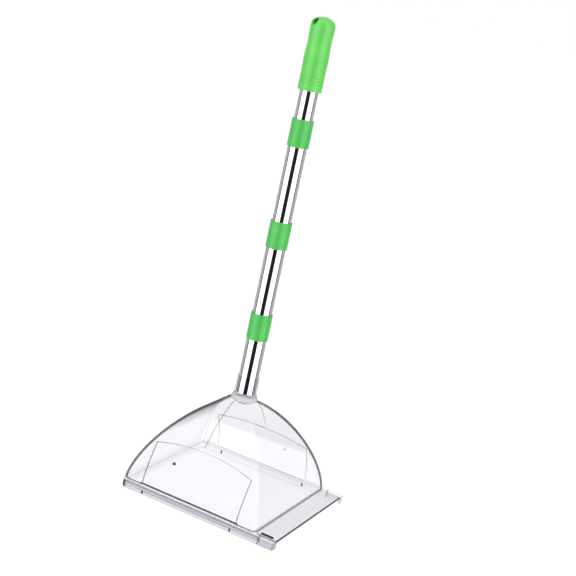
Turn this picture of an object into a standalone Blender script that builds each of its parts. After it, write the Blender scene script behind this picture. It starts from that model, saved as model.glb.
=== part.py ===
# Spider catcher: a clear dome on a sliding door, with a telescopic pole.
# Units are metres.  +Z is up, the pole stands along Z and the floor is z = 0.
# The door slides out toward +X.  The front of the dome faces -Y.

import math

import bmesh
import bpy
from mathutils import Matrix, Vector

# Sizes
GAP = 0.0003             # free space between neighbouring pieces
SLIDE_GAP = 0.0001       # free space between two sliding tubes
CUT_MARGIN = 0.002       # how far a cutter reaches past what it cuts

# Base frame
FRAME_H = 0.0094         # height of the frame under the dome
FRAME_DROP = 0.0008      # the outer top edge lies lower by this
FRAME_LEDGE = 0.0035     # the rails reach this far beyond the dome
FRAME_LEFT = 0.0005      # the left end reaches this far beyond the dome
FRAME_RIGHT = 0.0052     # the rail ends reach this far beyond the dome
FRAME_CORNER_R = 0.0095  # radius of the two left corners
FRAME_INNER_W = 0.0042   # how far the frame reaches inward from the dome's outside
FRAME_BAR_REACH = 0.0002 # the bar above the door slot passes the dome by this
LIP_T = 0.0010           # thickness of the lip above the door
SIDE_RECESS = 0.0007     # depth of the long recess in a rail's outer face
SIDE_RECESS_H = 0.0044   # its height from the floor
SIDE_RECESS_HALF = 0.0580  # half its length
TICK_W = 0.0013          # width of the upright slot at each end of it
TICK_H = 0.0040          # height of that slot
TICK_DEPTH = 0.0018      # depth of that slot

# Door
DOOR_T = 0.0016          # thickness of the door plate
DOOR_EDGE = 0.0021       # rail wall outside the door groove
DOOR_BACK = 0.0028       # frame wall at the closed end of the groove
STRIP_T = 0.0023         # thickness of the pull strip
STRIP_REACH = 0.0250     # the strip's outer edge beyond the dome
STRIP_EDGE_R = 0.0008    # rounding of the strip's outer edge
CLIP_L = 0.0195          # length of an end clip along the rail
CLIP_W = 0.0080          # width of an end clip
CLIP_WALL = 0.0018       # wall of an end clip
BAR_L = 0.0150           # length of the catch bar
BAR_W = 0.0015           # width of the catch bar
BAR_H = 0.0022           # height of the catch bar
BAR_INSET = 0.0053       # from the strip's outer edge to the bar

# Dome
DOME_HALF = 0.0880       # half the width of the dome at its foot
DOME_H = 0.1063          # height of the dome from foot to crown
DOME_CROWN = 0.0084      # half width that the face curve runs to
DOME_WALL = 0.0022       # wall thickness
HIP_R = 0.0070           # outer radius of the rounded hips
FACE_FULL_SHARE = 1.004   # height of the whole curve as a share of DOME_H
FACE_RISE = 1.50         # exponent of the height in the face curve
FACE_ROUND = 1.49        # root of the face curve
CROWN_HOLE_R = 0.0095    # hole in the crown for the neck's spigot
SEAM_W = 0.0010          # width of the moulding seam
SEAM_X = -0.0050         # the front seam lies this far from the middle
SEAM_H = 0.0005          # height of the moulding seam above the face
DOME_LEVELS = 22         # sections between foot and crown
HIP_STEPS = 6            # segments in each rounded hip

# Flaps in the front and the back face
FLAP_HALF = 0.0625       # half the width of the opening
FLAP_SIDE_H = 0.0485     # height of the opening at its sides
FLAP_ARCH = 0.0096       # further rise of the opening at its middle
FLAP_SLACK = 0.00035     # free space round a flap
FLAP_TILT = 0.455        # slope of the upper edge, along which the flap leaves
ARCH_STEPS = 16          # segments of the arched edge
BARREL_R = 0.0013        # hinge barrel at the foot of a flap
PIN_R = 0.0004           # hinge pin
PIN_REACH = 0.0018       # how far the pin enters the dome at each side
KNOB_X = 0.0314          # sideways place of the knob
KNOB_Z = 0.0344          # height of the knob above the dome's foot
KNOB_R = 0.0018          # head of the knob
KNOB_H = 0.0016          # height of the head
KNOB_SHAFT_R = 0.0009    # thin part of the knob

# Neck
NECK_R = 0.0154          # outer radius of the foot ring
NECK_RING_H = 0.0060     # height of the foot ring
NECK_SLEEVE_H = 0.0226   # height of the sleeve above the ring
NECK_WAIST_R = 0.0139    # radius where ring and sleeve meet
NECK_TOP_R = 0.0130      # radius at the top of the sleeve
NECK_SEAT_H = 0.0090     # the tube stands this high above the neck's foot
NECK_SPIGOT_H = 0.0030   # depth of the spigot in the dome's crown

# Pole
TUBE_A_R = 0.0116        # outer radius of the lowest tube
TUBE_WALL = 0.0003       # wall of every tube
A_SHOWN = 0.0460         # tube seen between the neck and the lower collar
B_SHOWN = 0.0775         # tube seen between the lower and middle collars
C_SHOWN = 0.0848         # tube seen between the middle and upper collars
D_SHOWN = 0.0315         # tube seen between the upper collar and the grip
TUBE_OVERLAP = 0.0165    # length of one tube inside the tube below it
GRIP_OVERLAP = 0.0600    # length of the top tube inside the grip
COLLAR_H = 0.0310        # length of a collar
COLLAR_LIP = 0.0060      # the part of a collar above the lower tube
COLLAR_EDGE = 0.0004     # rounding of a collar's ends, across
COLLAR_EDGE_H = 0.0013   # rounding of a collar's ends, along
COLLAR_IN_SHARE = 0.3    # middle of the rounding, as a share of COLLAR_EDGE
COLLAR_UP_SHARE = 0.4    # the same as a share of COLLAR_EDGE_H
COLLAR_LOWER_R = 0.0126
COLLAR_MIDDLE_R = 0.0124
COLLAR_UPPER_R = 0.0122
ROUND_SIDES = 48         # sides of every round piece

# Grip
GRIP_H = 0.0795          # length of the grip
GRIP_R = 0.0135          # radius at the foot and the shoulder
GRIP_TUCK_R = 0.0133     # radius above the grooves
GRIP_BELLY_R = 0.0137    # radius where the palm rests
GRIP_WAIST_R = 0.0130    # radius at the waist
GRIP_DOME_H = 0.0090     # height of the rounded top
GRIP_EDGE = 0.0007       # rounding of the foot
GROOVE_DEPTH = 0.0004    # depth of the three fine grooves
GROOVE_W = 0.0012        # width of a groove
GROOVE_STEP = 0.0034     # from one groove to the next
GROOVE_FIRST = 0.0080    # height of the first groove above the grip's foot
TUCK_SHARE = 0.24        # height above the grooves as a share of the grip
BELLY_SHARE = 0.44       # height of the belly as a share of the grip
WAIST_SHARE = 0.65       # height of the waist as a share of the grip
SHOULDER_SHARE = 0.84    # height of the shoulder as a share of the grip
HOLE_R = 0.0040          # radius of the hanging hole
HOLE_DROP = 0.0062       # from the top of the grip to the hole's centre
HOLE_TURN = math.radians(26)  # the hole is turned from -Y toward -X
HOLE_SIDES = 24
GRIP_SIDE_STEPS = 5      # segments between two of the grip's radii
DOME_TOP_STEPS = 7       # rings of the rounded top

# Places derived from the sizes
STEP_R = TUBE_WALL + SLIDE_GAP
TUBE_B_R = TUBE_A_R - STEP_R
TUBE_C_R = TUBE_B_R - STEP_R
TUBE_D_R = TUBE_C_R - STEP_R
LEFT_REACH = DOME_HALF + FRAME_LEFT
RIGHT_REACH = DOME_HALF + STRIP_REACH
POLE_X = (LEFT_REACH - RIGHT_REACH) / 2
FOOT_Z = FRAME_H + GAP
CROWN_Z = FOOT_Z + DOME_H
NECK_Z = CROWN_Z + GAP
SLEEVE_Z = NECK_Z + NECK_RING_H + NECK_SLEEVE_H
COLLAR_A_Z = SLEEVE_Z + A_SHOWN
COLLAR_B_Z = COLLAR_A_Z + COLLAR_H + B_SHOWN
COLLAR_C_Z = COLLAR_B_Z + COLLAR_H + C_SHOWN
GRIP_Z = COLLAR_C_Z + COLLAR_H + D_SHOWN
RAIL_Y = DOME_HALF + FRAME_LEDGE
INNER_Y = DOME_HALF - FRAME_INNER_W
GROOVE_TOP = FRAME_H - LIP_T
DOOR_TOP = GROOVE_TOP - GAP
DOOR_Z = DOOR_TOP - DOOR_T
GROOVE_Y = RAIL_Y - DOOR_EDGE
BAR_END = DOME_HALF + FRAME_BAR_REACH
STRIP_X = BAR_END + GAP
RAIL_END = DOME_HALF + FRAME_RIGHT
HINGE_Y = DOME_HALF - DOME_WALL / 2
HINGE_Z = FOOT_Z + BARREL_R


# Materials
def srgb(code):
    """Linear colour from a six-digit sRGB code."""
    out = []
    for k in (0, 2, 4):
        c = int(code[k:k + 2], 16) / 255
        out.append(c / 12.92 if c <= 0.04045 else ((c + 0.055) / 1.055) ** 2.4)
    return (out[0], out[1], out[2], 1.0)


def plain_material(name, code, roughness, metallic, alpha=1.0):
    m = bpy.data.materials.new(name)
    m.use_nodes = True
    b = m.node_tree.nodes["Principled BSDF"]
    b.inputs["Base Color"].default_value = srgb(code)
    b.inputs["Roughness"].default_value = roughness
    b.inputs["Metallic"].default_value = metallic
    b.inputs["Alpha"].default_value = alpha
    m.diffuse_color = srgb(code)
    return m


def clear_plastic():
    return plain_material("clear_plastic", "DCDCEC", 0.05, 0.0, 0.35)


def chrome_tube():
    return plain_material("chrome_tube", "D4D6DA", 0.12, 1.0)


def green_plastic():
    return plain_material("green_plastic", "62D45B", 0.42, 0.0)


def black_plastic():
    return plain_material("black_plastic", "17171C", 0.35, 0.0)


def steel_pin():
    return plain_material("steel_pin", "8E9096", 0.3, 1.0)


# Making objects
def clear_scene():
    for ob in list(bpy.data.objects):
        bpy.data.objects.remove(ob, do_unlink=True)


def add_object(name, bm, material=None, smooth_angle=None):
    bmesh.ops.recalc_face_normals(bm, faces=bm.faces)
    me = bpy.data.meshes.new(name)
    bm.to_mesh(me)
    bm.free()
    ob = bpy.data.objects.new(name, me)
    bpy.context.collection.objects.link(ob)
    if material is not None:
        me.materials.append(material)
    if smooth_angle is not None:
        smooth(ob, smooth_angle)
    return ob


def smooth(ob, angle):
    """Shade smooth where faces meet at less than the angle."""
    me = ob.data
    bm = bmesh.new()
    bm.from_mesh(me)
    for f in bm.faces:
        f.smooth = True
    for e in bm.edges:
        e.smooth = e.is_manifold and e.calc_face_angle(math.pi) < angle
    bm.to_mesh(me)
    bm.free()


def place(ob, x, y, z):
    ob.location = Vector((x, y, z))
    return ob


def bridge(bm, low, high):
    """Quads between two closed rings of vertices."""
    n = len(low)
    for i in range(n):
        j = (i + 1) % n
        bm.faces.new((low[i], low[j], high[j], high[i]))


def ring_of(bm, points, z):
    return [bm.verts.new((p[0], p[1], z)) for p in points]


def prism(points, z0, z1):
    """Closed body between two heights over one outline."""
    bm = bmesh.new()
    low = ring_of(bm, points, z0)
    high = ring_of(bm, points, z1)
    bridge(bm, low, high)
    bm.faces.new(low)
    bm.faces.new(high)
    return bm


def box(x0, x1, y0, y1, z0, z1):
    return prism([(x0, y0), (x1, y0), (x1, y1), (x0, y1)], z0, z1)


def revolve(profile, sides=ROUND_SIDES):
    """Closed round body; the profile is a chain of (radius, height)."""
    bm = bmesh.new()
    rings = []
    for r, z in profile:
        if r == 0:
            rings.append([bm.verts.new((0, 0, z))])
            continue
        ring = []
        for k in range(sides):
            a = 2 * math.pi * k / sides
            ring.append(bm.verts.new((r * math.cos(a), r * math.sin(a), z)))
        rings.append(ring)
    last = len(rings) - 1
    pairs = [(i, i + 1) for i in range(last)]
    if len(rings[0]) > 1:
        pairs.append((last, 0))
    for i, j in pairs:
        join_rings(bm, rings[i], rings[j], sides)
    return bm


def join_rings(bm, a, b, sides):
    for k in range(sides):
        m = (k + 1) % sides
        if len(a) == 1:
            bm.faces.new((a[0], b[m], b[k]))
        elif len(b) == 1:
            bm.faces.new((a[k], a[m], b[0]))
        else:
            bm.faces.new((a[k], a[m], b[m], b[k]))


def cylinder_along_x(r, x0, x1, y, z, sides):
    bm = bmesh.new()
    rings = []
    for x in (x0, x1):
        ring = []
        for k in range(sides):
            a = 2 * math.pi * k / sides
            ring.append(bm.verts.new((x, y + r * math.cos(a), z + r * math.sin(a))))
        rings.append(ring)
    bridge(bm, rings[0], rings[1])
    bm.faces.new(rings[0])
    bm.faces.new(rings[1])
    return bm


def combine(ob, operation, bm):
    """Apply one exact Boolean of a body to an object and drop the cutter."""
    other = add_object("cutter", bm)
    other.location = ob.location
    mod = ob.modifiers.new("cut", "BOOLEAN")
    mod.operation = operation
    mod.solver = "EXACT"
    mod.object = other
    dg = bpy.context.evaluated_depsgraph_get()
    me = bpy.data.meshes.new_from_object(ob.evaluated_get(dg), depsgraph=dg)
    old = ob.data
    ob.modifiers.clear()
    ob.data = me
    bpy.data.meshes.remove(old)
    bpy.data.objects.remove(other, do_unlink=True)
    return ob


def cut(ob, bm):
    return combine(ob, "DIFFERENCE", bm)


def join(ob, bm):
    return combine(ob, "UNION", bm)


def keep_common(ob, bm):
    return combine(ob, "INTERSECT", bm)


def turned_half(bm):
    """The same body turned half a turn about the pole."""
    bmesh.ops.rotate(bm, verts=bm.verts, cent=Vector(), matrix=Matrix.Rotation(math.pi, 3, "Z"))
    return bm


# Shape of the dome
def face_half(z):
    """Half width of the dome's outside at a height above its foot."""
    full = DOME_H * FACE_FULL_SHARE
    rest = max(0, 1 - (z / full) ** FACE_RISE)
    return DOME_CROWN + (DOME_HALF - DOME_CROWN) * rest ** (1 / FACE_ROUND)


def face_normal(z):
    """Outward and upward parts of the face's normal."""
    h = DOME_H / 1000
    z0 = max(z - h, 0)
    z1 = min(z + h, DOME_H)
    lean = (face_half(z0) - face_half(z1)) / (z1 - z0)
    size = math.hypot(1, lean)
    return 1 / size, lean / size


def hip_section(half, radius):
    """Outline of a square with rounded corners."""
    pts = []
    for q in range(4):
        turn = math.pi / 2 * q
        sx = 1 if q in (0, 3) else -1
        sy = 1 if q in (0, 1) else -1
        for k in range(HIP_STEPS + 1):
            a = turn + math.pi / 2 * k / HIP_STEPS
            x = sx * (half - radius) + radius * math.cos(a)
            y = sy * (half - radius) + radius * math.sin(a)
            pts.append((x, y))
    return pts


def dome_heights():
    """Heights of the sections, closer together toward the crown."""
    out = []
    for k in range(DOME_LEVELS + 1):
        s = k / DOME_LEVELS
        out.append(DOME_H * math.sin(math.pi / 2 * s) ** 1.15)
    return out


def dome_body(grow=0):
    """Shell of the dome from its foot to the flat crown."""
    bm = bmesh.new()
    outer = []
    inner = []
    for z in dome_heights():
        b = face_half(z)
        n_out, n_up = face_normal(z)
        ring = hip_section(b + grow * n_out, HIP_R + grow * n_out)
        outer.append(ring_of(bm, ring, z + grow * n_up * (z > 0)))
        b_in = b - DOME_WALL * n_out
        z_in = z - DOME_WALL * n_up * (z > 0)
        r_in = HIP_R - DOME_WALL * n_out
        inner.append(ring_of(bm, hip_section(b_in, r_in), z_in))
    for chain in (outer, inner):
        for i in range(len(chain) - 1):
            bridge(bm, chain[i], chain[i + 1])
        bm.faces.new(chain[-1])
    bridge(bm, inner[0], outer[0])
    return bm


def arch_outline(half, side_h, low):
    """Outline of a flap opening as (x, z), counted from the dome's foot."""
    pts = [(-half, low), (half, low)]
    for k in range(ARCH_STEPS + 1):
        s = 1 - 2 * k / ARCH_STEPS
        pts.append((half * s, side_h + FLAP_ARCH * (1 - s * s)))
    return pts


def flap_prism(half, side_h, low):
    """Cutter through the front face; its top follows the way a flap opens."""
    y_in = -(DOME_HALF / 2)
    y_out = -(DOME_HALF + CUT_MARGIN)
    y_mid = -face_half(FLAP_SIDE_H)
    bm = bmesh.new()
    rings = []
    for y in (y_out, y_mid, y_in):
        ring = []
        for x, z in arch_outline(half, side_h, low):
            lift = (y_mid - y) * FLAP_TILT if z > low else 0
            ring.append(bm.verts.new((x, y, z + lift)))
        rings.append(ring)
    bridge(bm, rings[0], rings[1])
    bridge(bm, rings[1], rings[2])
    bm.faces.new(rings[0])
    bm.faces.new(rings[2])
    return bm


def seam_rib():
    """Thin rib that follows the front face from flap to neck."""
    bm = bmesh.new()
    low_z = FLAP_SIDE_H + FLAP_ARCH + DOME_WALL
    count = DOME_LEVELS
    sides = []
    for x in (SEAM_X - SEAM_W / 2, SEAM_X + SEAM_W / 2):
        out_row = []
        in_row = []
        for k in range(count + 1):
            z = low_z + (DOME_H - DOME_WALL - low_z) * math.sin(math.pi / 2 * k / count)
            b = face_half(z)
            n_out, n_up = face_normal(z)
            out_row.append(bm.verts.new((x, -(b + SEAM_H * n_out), z + SEAM_H * n_up)))
            back = DOME_WALL / 2
            in_row.append(bm.verts.new((x, -(b - back * n_out), z - back * n_up)))
        sides.append(out_row + in_row[::-1])
    bridge(bm, sides[0], sides[1])
    for row in sides:
        n = len(row)
        for k in range(count):
            bm.faces.new((row[k], row[k + 1], row[n - 2 - k], row[n - 1 - k]))
    return bm


def make_dome(material):
    ob = add_object("dome_shell", dome_body(), material)
    place(ob, POLE_X, 0, FOOT_Z)
    cut(ob, revolve([(0, DOME_H - DOME_WALL - CUT_MARGIN), (CROWN_HOLE_R, DOME_H - DOME_WALL - CUT_MARGIN),
                     (CROWN_HOLE_R, DOME_H + CUT_MARGIN), (0, DOME_H + CUT_MARGIN)]))
    reach = FLAP_HALF + PIN_REACH + GAP
    hole = PIN_R + GAP
    for turn in (False, True):
        rib = seam_rib()
        opening = flap_prism(FLAP_HALF, FLAP_SIDE_H, -CUT_MARGIN)
        pin_hole = cylinder_along_x(hole, -reach, reach, -HINGE_Y, BARREL_R, 12)
        for bm, action in ((rib, join), (opening, cut), (pin_hole, cut)):
            action(ob, turned_half(bm) if turn else bm)
    smooth(ob, math.radians(35))
    return ob


# Base frame
def frame_outline(left, right, half_y, radius):
    """Outline with two rounded left corners, counted from the pole."""
    pts = [(right, -half_y), (right, half_y)]
    for corner in (0, 1):
        cy = half_y - radius if corner == 0 else -half_y + radius
        for k in range(HIP_STEPS + 1):
            a = math.pi / 2 * (1 + corner + k / HIP_STEPS)
            pts.append((-left + radius + radius * math.cos(a), cy + radius * math.sin(a)))
    return pts


def frame_blank():
    bm = bmesh.new()
    low = frame_outline(LEFT_REACH, RAIL_END, RAIL_Y, FRAME_CORNER_R)
    top = frame_outline(DOME_HALF, RAIL_END, DOME_HALF, FRAME_CORNER_R - FRAME_LEDGE / 2)
    rings = [ring_of(bm, low, 0), ring_of(bm, low, FRAME_H - FRAME_DROP), ring_of(bm, top, FRAME_H)]
    bridge(bm, rings[0], rings[1])
    bridge(bm, rings[1], rings[2])
    bm.faces.new(rings[0])
    bm.faces.new(rings[2])
    return bm


def make_frame(material):
    ob = add_object("base_frame", frame_blank(), material)
    place(ob, POLE_X, 0, 0)
    m = CUT_MARGIN
    past = RAIL_END + m
    cut(ob, box(-INNER_Y, INNER_Y, -INNER_Y, INNER_Y, -m, FRAME_H + m))
    cut(ob, box(-LEFT_REACH + DOOR_BACK, past, -GROOVE_Y, GROOVE_Y, DOOR_Z - GAP, GROOVE_TOP))
    cut(ob, box(0, past, -INNER_Y, INNER_Y, -m, GROOVE_TOP))
    cut(ob, box(BAR_END, past, -INNER_Y, INNER_Y, -m, FRAME_H + m))
    for side in (-1, 1):
        near = side * (RAIL_Y - SIDE_RECESS)
        far = side * (RAIL_Y + m)
        cut(ob, box(-SIDE_RECESS_HALF, SIDE_RECESS_HALF, min(near, far), max(near, far), -m, SIDE_RECESS_H))
        near = side * (RAIL_Y - TICK_DEPTH)
        for end in (-1, 1):
            a = end * (SIDE_RECESS_HALF - TICK_W / 2)
            b = end * (SIDE_RECESS_HALF + TICK_W / 2)
            cut(ob, box(min(a, b), max(a, b), min(near, far), max(near, far), -m, TICK_H))
    smooth(ob, math.radians(35))
    return ob


# Door
def make_door_plate(material):
    left = -LEFT_REACH + DOOR_BACK + GAP
    y = GROOVE_Y - GAP
    ob = add_object("door_plate", box(left, STRIP_X - GAP, -y, y, DOOR_Z, DOOR_TOP), material)
    return place(ob, POLE_X, 0, 0)


def make_pull_strip(material):
    y = RAIL_Y - CLIP_W - GAP
    top = DOOR_Z + STRIP_T
    edge = STRIP_EDGE_R
    bm = bmesh.new()
    outline = [(STRIP_X, DOOR_Z), (RIGHT_REACH - edge, DOOR_Z), (RIGHT_REACH, DOOR_Z + edge),
               (RIGHT_REACH, top - edge), (RIGHT_REACH - edge, top), (STRIP_X, top)]
    rings = []
    for side in (-y, y):
        rings.append([bm.verts.new((p[0], side, p[1])) for p in outline])
    bridge(bm, rings[0], rings[1])
    bm.faces.new(rings[0])
    bm.faces.new(rings[1])
    ob = add_object("door_pull_strip", bm, material)
    return place(ob, POLE_X, 0, 0)


def make_clip(name, side, material):
    """Angle-shaped end clip, open below and toward the strip."""
    top = DOOR_Z + STRIP_T
    x0 = RIGHT_REACH - CLIP_L
    inner = side * (RAIL_Y - CLIP_W)
    outer = side * RAIL_Y
    ob = add_object(name, box(x0, RIGHT_REACH, min(inner, outer), max(inner, outer), 0, top), material)
    place(ob, POLE_X, 0, 0)
    wall = side * (RAIL_Y - CLIP_WALL)
    past = side * (RAIL_Y - CLIP_W - CUT_MARGIN)
    cut(ob, box(x0 - CUT_MARGIN, RIGHT_REACH - CLIP_WALL, min(wall, past), max(wall, past), -CUT_MARGIN, DOOR_Z))
    return ob


def make_catch_bar(material):
    x1 = RIGHT_REACH - BAR_INSET
    y0 = -(RAIL_Y - CLIP_W - GAP)
    z0 = DOOR_Z + STRIP_T + GAP
    ob = add_object("door_catch_bar", box(x1 - BAR_L, x1, y0, y0 + BAR_W, z0, z0 + BAR_H), material)
    return place(ob, POLE_X, 0, 0)


# Flaps
def front_flap_body():
    half = FLAP_HALF - FLAP_SLACK
    ob = add_object("flap_work", dome_body())
    keep_common(ob, flap_prism(half, FLAP_SIDE_H - FLAP_SLACK, BARREL_R))
    join(ob, cylinder_along_x(BARREL_R, -half, half, -HINGE_Y, BARREL_R, 16))
    cut(ob, cylinder_along_x(PIN_R + GAP, -half - CUT_MARGIN, half + CUT_MARGIN, -HINGE_Y, BARREL_R, 12))
    n_out, n_up = face_normal(KNOB_Z)
    hole = revolve([(0, -DOME_WALL - CUT_MARGIN), (KNOB_SHAFT_R + GAP, -DOME_WALL - CUT_MARGIN),
                    (KNOB_SHAFT_R + GAP, CUT_MARGIN), (0, CUT_MARGIN)], 16)
    lay_on_face(hole)
    cut(ob, hole)
    bm = bmesh.new()
    bm.from_mesh(ob.data)
    bpy.data.objects.remove(ob, do_unlink=True)
    return bm


def lay_on_face(bm):
    """Turn a body made along Z outward and set it at the knob's place."""
    n_out, n_up = face_normal(KNOB_Z)
    lean = math.atan2(n_out, n_up)
    bmesh.ops.rotate(bm, verts=bm.verts, cent=Vector(), matrix=Matrix.Rotation(lean, 3, "X"))
    bmesh.ops.translate(bm, verts=bm.verts, vec=Vector((-KNOB_X, -face_half(KNOB_Z), KNOB_Z)))


def knob_body():
    r = KNOB_R
    h = KNOB_H
    foot = GAP
    bm = revolve([(0, -DOME_WALL), (KNOB_SHAFT_R, -DOME_WALL), (KNOB_SHAFT_R, foot), (r, foot),
                  (r, foot + h / 2), (r * 0.72, foot + h * 0.9), (0, foot + h)], 16)
    lay_on_face(bm)
    return bm


def hinged(name, bm, turn, material, angle):
    """Put the origin of a flap piece on its hinge axis."""
    bmesh.ops.translate(bm, verts=bm.verts, vec=Vector((0, HINGE_Y, -BARREL_R)))
    side = -1
    if turn:
        turned_half(bm)
        side = 1
    ob = add_object(name, bm, material, angle)
    return place(ob, POLE_X, side * HINGE_Y, HINGE_Z)


def make_pin(name, side, material):
    reach = FLAP_HALF + PIN_REACH
    ob = add_object(name, cylinder_along_x(PIN_R, -reach, reach, 0, 0, 12), material, math.radians(50))
    return place(ob, POLE_X, side * HINGE_Y, HINGE_Z)


# Neck
def make_neck(material):
    seat = NECK_SEAT_H
    bore = TUBE_A_R + GAP
    spigot = CROWN_HOLE_R - GAP
    top = NECK_RING_H + NECK_SLEEVE_H
    ring_edge = NECK_RING_H / 4
    rim = (NECK_TOP_R - bore) / 4
    profile = [(0, -NECK_SPIGOT_H), (spigot, -NECK_SPIGOT_H), (spigot, 0), (NECK_R - rim, 0),
               (NECK_R, rim), (NECK_R, ring_edge), (NECK_WAIST_R, NECK_RING_H),
               (NECK_TOP_R, top - rim), (NECK_TOP_R - rim, top), (bore, top), (bore, seat),
               (0, seat)]
    ob = add_object("neck_socket", revolve(profile), material, math.radians(25))
    return place(ob, POLE_X, 0, NECK_Z)


# Pole
def make_tube(name, r, z0, z1, material):
    profile = [(r, 0), (r, z1 - z0), (r - TUBE_WALL, z1 - z0), (r - TUBE_WALL, 0)]
    ob = add_object(name, revolve(profile), material, math.radians(30))
    return place(ob, POLE_X, 0, z0)


def make_collar(name, r, tube_r, next_r, z, material):
    e = COLLAR_EDGE
    eh = COLLAR_EDGE_H
    h = COLLAR_H
    shelf = h - COLLAR_LIP
    bore = tube_r + GAP
    lip = next_r + GAP
    mid = e * COLLAR_IN_SHARE
    mid_h = eh * COLLAR_UP_SHARE
    profile = [(r - e, 0), (r - mid, mid_h), (r, eh), (r, h - eh), (r - mid, h - mid_h),
               (r - e, h), (lip, h), (lip, shelf), (bore, shelf), (bore, 0)]
    ob = add_object(name, revolve(profile), material, math.radians(40))
    return place(ob, POLE_X, 0, z)


def tube_top(collar_z):
    """Upper end of the tube that a collar is fixed on."""
    return collar_z + COLLAR_H - COLLAR_LIP - GAP


def groove_points():
    """Chain of the three fine grooves near the grip's foot."""
    pts = []
    for k in range(3):
        z = GROOVE_FIRST + k * GROOVE_STEP
        pts.append((GRIP_R, z - GROOVE_W / 2))
        pts.append((GRIP_R - GROOVE_DEPTH, z - GROOVE_W / 5))
        pts.append((GRIP_R - GROOVE_DEPTH, z + GROOVE_W / 5))
        pts.append((GRIP_R, z + GROOVE_W / 2))
    return pts


def grip_side():
    """Chain of the grip's side from the grooves to the shoulder."""
    knots = [(TUCK_SHARE, GRIP_TUCK_R), (BELLY_SHARE, GRIP_BELLY_R),
             (WAIST_SHARE, GRIP_WAIST_R), (SHOULDER_SHARE, GRIP_R)]
    pts = []
    for (low, r_low), (high, r_high) in zip(knots, knots[1:]):
        for k in range(GRIP_SIDE_STEPS):
            s = k / GRIP_SIDE_STEPS
            blend = s * s * (3 - 2 * s)
            pts.append((r_low + (r_high - r_low) * blend, GRIP_H * (low + (high - low) * s)))
    return pts + [(GRIP_R, GRIP_H * SHOULDER_SHARE)]


def make_grip(material):
    bore = TUBE_D_R + GAP
    deep = GRIP_OVERLAP + GAP
    shoulder = GRIP_H - GRIP_DOME_H
    outside = [(bore, 0), (GRIP_R - GRIP_EDGE, 0), (GRIP_R, GRIP_EDGE)]
    outside += groove_points()
    outside += grip_side()
    for k in range(DOME_TOP_STEPS):
        a = math.pi / 2 * k / DOME_TOP_STEPS
        outside.append((GRIP_R * math.cos(a), shoulder + GRIP_DOME_H * math.sin(a)))
    chain = [(0, deep), (bore, deep)] + outside + [(0, GRIP_H)]
    ob = add_object("grip", revolve(chain), material)
    place(ob, POLE_X, 0, GRIP_Z)
    hole = revolve([(0, -GRIP_R - CUT_MARGIN), (HOLE_R, -GRIP_R - CUT_MARGIN),
                    (HOLE_R, GRIP_R + CUT_MARGIN), (0, GRIP_R + CUT_MARGIN)], HOLE_SIDES)
    turn = Matrix.Rotation(-HOLE_TURN, 3, "Z") @ Matrix.Rotation(math.pi / 2, 3, "X")
    bmesh.ops.rotate(hole, verts=hole.verts, cent=Vector(), matrix=turn)
    bmesh.ops.translate(hole, verts=hole.verts, vec=Vector((0, 0, GRIP_H - HOLE_DROP)))
    cut(ob, hole)
    smooth(ob, math.radians(40))
    return ob


def make_pole(chrome, green):
    a_z = NECK_Z + NECK_SEAT_H + GAP
    a_top = tube_top(COLLAR_A_Z)
    b_top = tube_top(COLLAR_B_Z)
    c_top = tube_top(COLLAR_C_Z)
    make_tube("tube_a", TUBE_A_R, a_z, a_top, chrome)
    make_tube("tube_b", TUBE_B_R, a_top - TUBE_OVERLAP, b_top, chrome)
    make_tube("tube_c", TUBE_C_R, b_top - TUBE_OVERLAP, c_top, chrome)
    make_tube("tube_d", TUBE_D_R, c_top - TUBE_OVERLAP, GRIP_Z + GRIP_OVERLAP, chrome)
    make_collar("collar_lower", COLLAR_LOWER_R, TUBE_A_R, TUBE_B_R, COLLAR_A_Z, green)
    make_collar("collar_middle", COLLAR_MIDDLE_R, TUBE_B_R, TUBE_C_R, COLLAR_B_Z, green)
    make_collar("collar_upper", COLLAR_UPPER_R, TUBE_C_R, TUBE_D_R, COLLAR_C_Z, green)
    make_grip(green)


def build():
    clear_scene()
    clear = clear_plastic()
    chrome = chrome_tube()
    green = green_plastic()
    black = black_plastic()
    steel = steel_pin()
    make_frame(clear)
    make_dome(clear)
    make_door_plate(clear)
    make_pull_strip(clear)
    make_clip("door_clip_near", -1, clear)
    make_clip("door_clip_far", 1, clear)
    make_catch_bar(black)
    for name, turn, side in (("front", False, -1), ("back", True, 1)):
        hinged(name + "_flap", front_flap_body(), turn, clear, math.radians(35))
        hinged(name + "_flap_knob", knob_body(), turn, black, math.radians(50))
        make_pin(name + "_hinge_pin", side, steel)
    make_neck(clear)
    make_pole(chrome, green)


build()
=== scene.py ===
# %% [markdown]
# # A clear spider catcher on a telescopic pole
# The object is a clear four-sided dome on a clear base frame.  A clear door
# slides under the dome, two arched panels hinge in its front and back face,
# and a pole of bright tubes with green collars and a green grip stands on it.
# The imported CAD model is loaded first.  It gives every size and place, and
# the pieces modelled here take the place of its plain solids.

import math

import bmesh
import bpy
from mathutils import Matrix, Vector


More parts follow.
